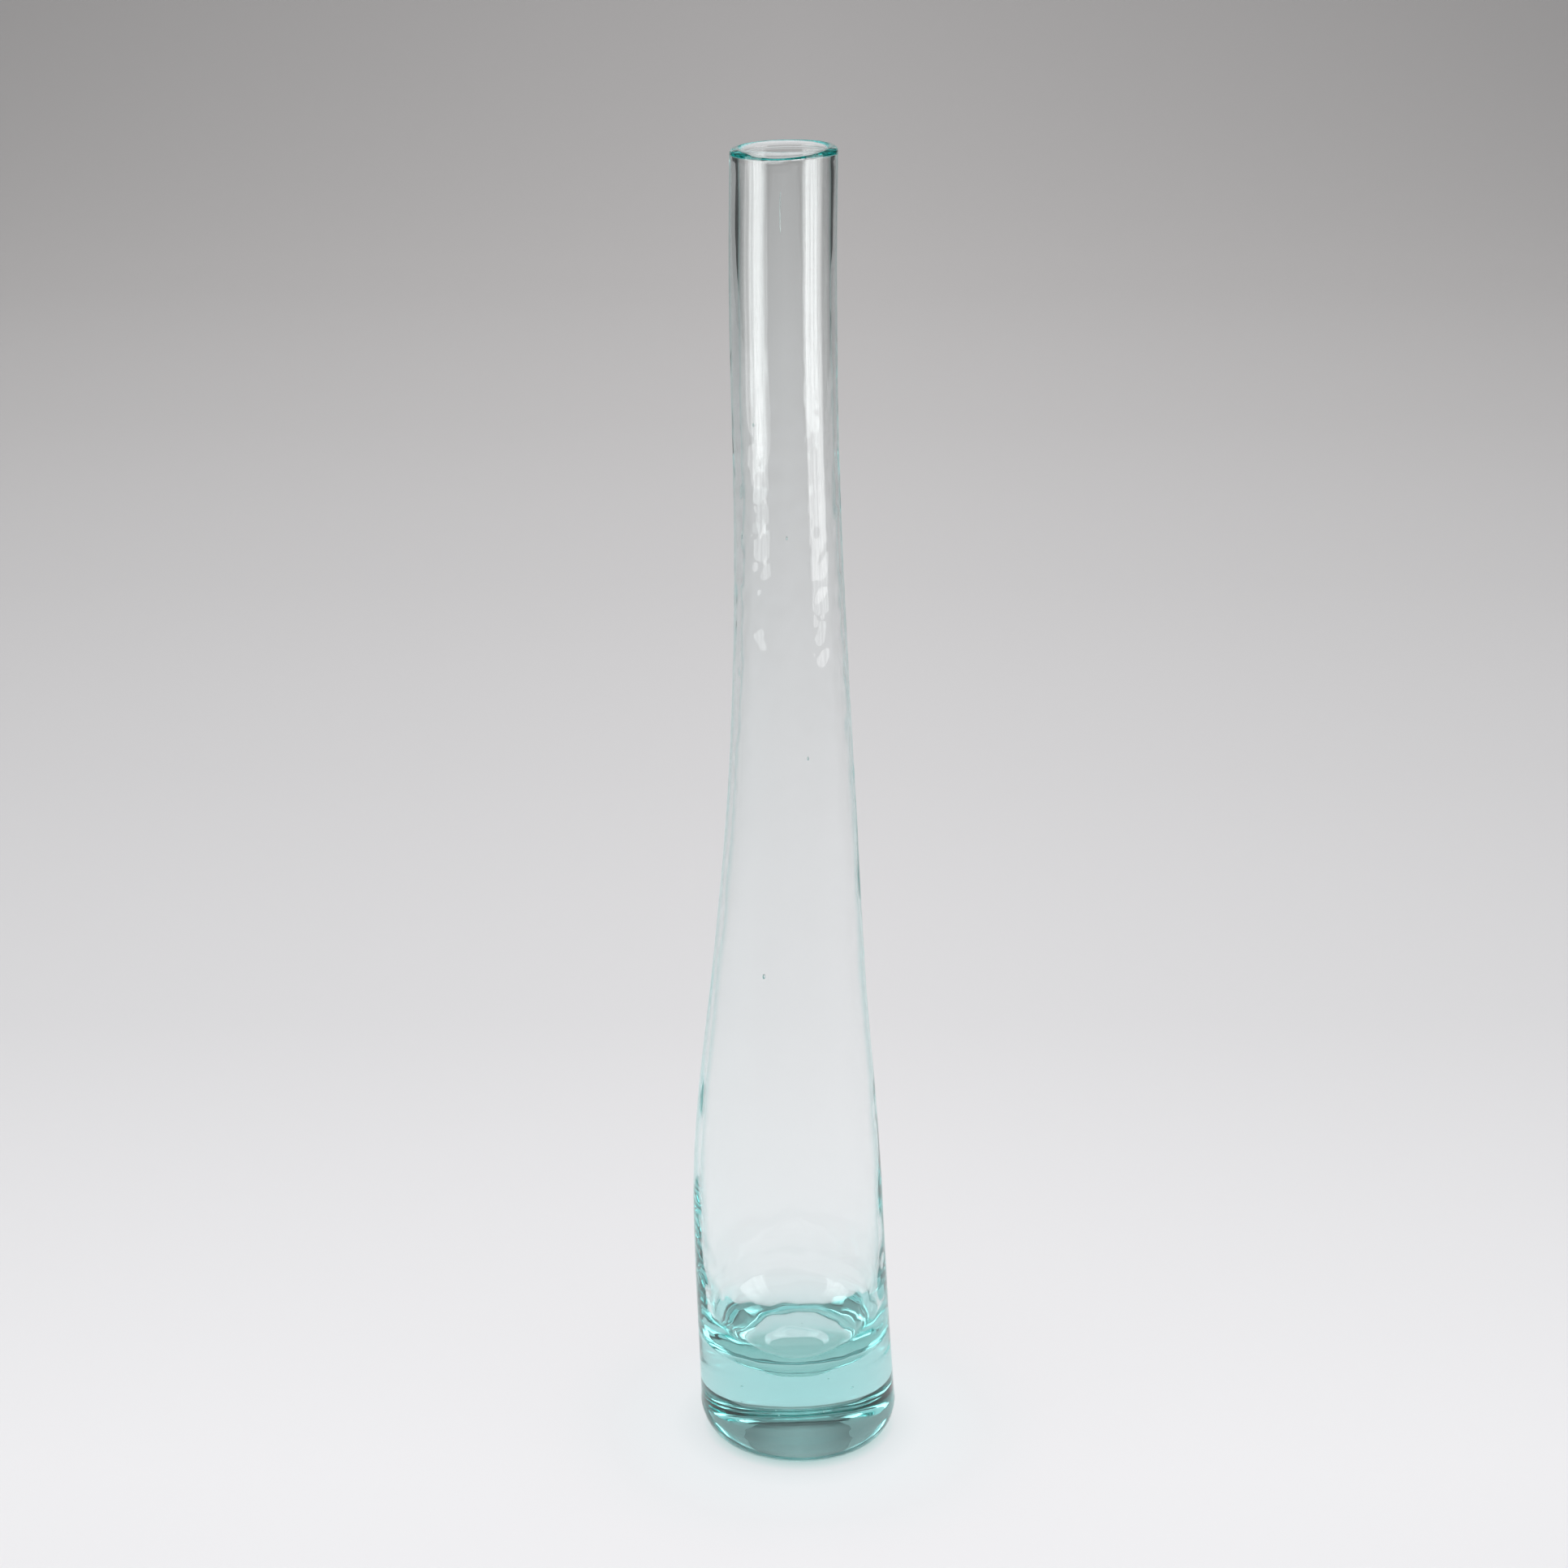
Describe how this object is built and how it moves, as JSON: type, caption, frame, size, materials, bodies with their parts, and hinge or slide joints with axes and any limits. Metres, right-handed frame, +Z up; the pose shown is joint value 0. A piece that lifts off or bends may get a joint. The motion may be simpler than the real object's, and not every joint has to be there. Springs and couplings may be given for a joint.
{
  "type": "glass bud vase",
  "caption": "Tall slender bud vase in clear pale aqua glass, free-blown in one piece, with a long straight neck, a softly swelling body and a thick solid base.",
  "frame": {"origin": "centre of the ground flat face under the base, on the surface that the vase stands on", "axes": "+Z up from the base to the mouth, +X to the viewer's right and +Y away from the viewer when the vase is seen from the front; the neck leans about 4 mm towards -X"},
  "size_m": [0.0475, 0.0461, 0.3006],
  "materials": {
    "aqua_glass": "clear, fire-polished, slightly rippled"
  },
  "bodies": {
    "root": {"vase_body": "aqua_glass"}
  },
  "joints": []
}
